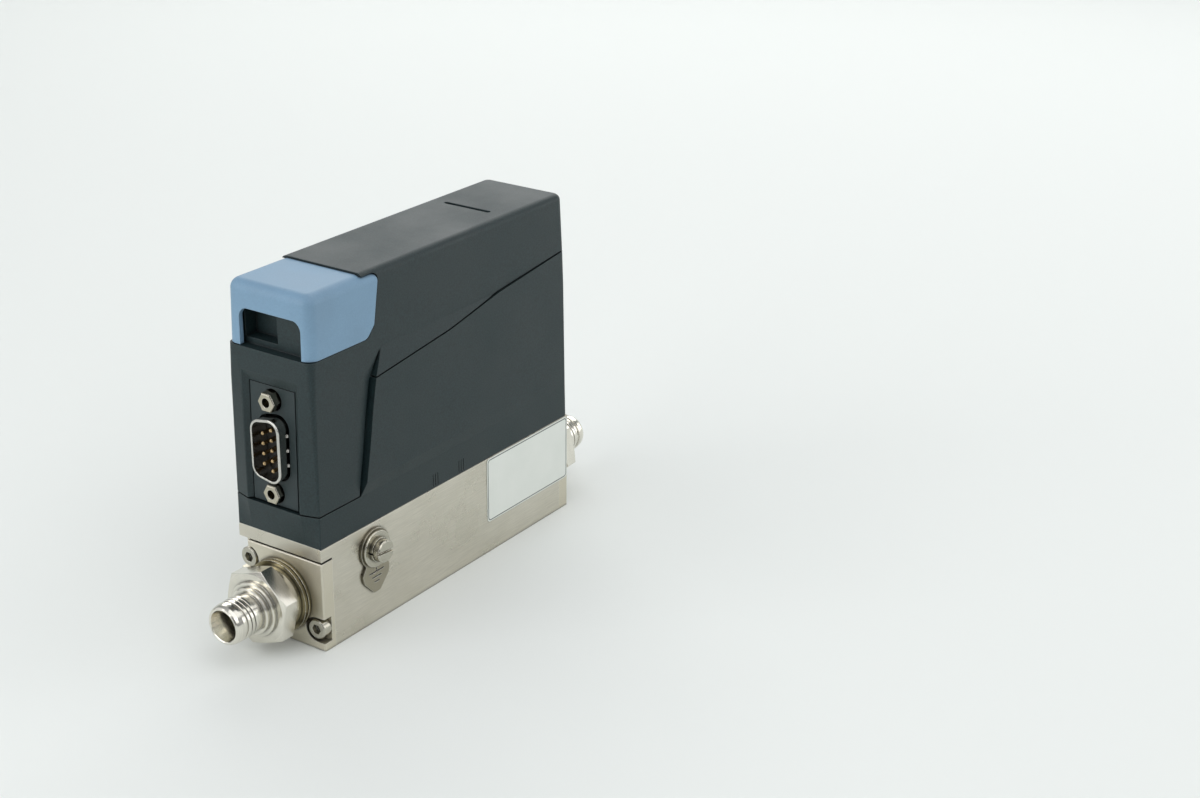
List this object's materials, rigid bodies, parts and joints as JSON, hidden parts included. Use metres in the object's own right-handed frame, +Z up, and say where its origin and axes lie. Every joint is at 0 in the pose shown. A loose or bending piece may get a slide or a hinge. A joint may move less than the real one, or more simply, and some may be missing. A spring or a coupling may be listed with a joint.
{
  "type": "mass flow controller",
  "caption": "Compact gas mass flow controller: steel flow block with threaded tube fittings, dark plastic housing, pale blue front cap and an upright D-sub plug.",
  "frame": {"origin": "centre of the flow block's base face", "axes": "+Z up, +Y along the block away from the D-sub end, +X out of the side with the earth screw"},
  "size_m": [0.0333, 0.151, 0.0965],
  "materials": {
    "block_steel": "satin ground stainless steel",
    "turned_steel": "fine turned stainless steel",
    "screw_steel": "plain stainless steel",
    "seal_metal": "dull plated metal",
    "plated_steel": "zinc plated steel",
    "lug_metal": "tin plated, rubbed",
    "plated_brass": "nickel plated",
    "bright_shell": "bright tin plated, drawn",
    "gold_contact": "gold flashed",
    "housing_plastic": "fine grained dark grey moulding",
    "insert_plastic": "fine grained dark grey moulding",
    "cap_plastic": "pale blue fine grained moulding",
    "insulator_plastic": "black moulding",
    "label_film": "pale satin film",
    "board_laminate": "green solder mask",
    "winding": "enamelled wire",
    "seal_rubber": "dark rubber"
  },
  "bodies": {
    "controller": {"base_block": "block_steel", "inlet_flange": "block_steel", "outlet_flange": "block_steel", "flange_screws": "screw_steel", "inlet_fitting": "turned_steel", "outlet_fitting": "turned_steel", "fitting_seals": "seal_metal", "lower_housing": "housing_plastic", "upper_hood": "housing_plastic", "front_cap": "cap_plastic", "connector_panel": "insert_plastic", "dsub_shell": "bright_shell", "dsub_insulator": "insulator_plastic", "dsub_pins": "gold_contact", "jackscrews": "plated_brass", "earth_screw": "plated_steel", "earth_spring_washer": "plated_steel", "earth_washer": "plated_steel", "earth_lug": "lug_metal", "rating_label": "label_film", "flow_element": "turned_steel", "sensor_base": "turned_steel", "sensor_tube": "turned_steel", "sensor_windings": "winding", "valve_seat": "turned_steel", "valve_sleeve": "turned_steel", "valve_spring": "screw_steel", "valve_coil": "winding", "valve_yoke": "plated_steel", "valve_nut": "plated_steel", "circuit_board": "board_laminate", "board_parts": "insulator_plastic", "block_seals": "seal_rubber", "housing_screws": "screw_steel", "inner_screws": "screw_steel"},
    "plunger": {"valve_plunger": "turned_steel"}
  },
  "joints": [
    {"name": "plunger_lift", "type": "slide", "parent": "controller", "child": "plunger", "axis": [0, 0, 1], "range_m": [0, 0.0004], "stiffness_N_per_m": 200, "springref_m": -0.002, "deforming": ["valve_spring"]}
  ]
}
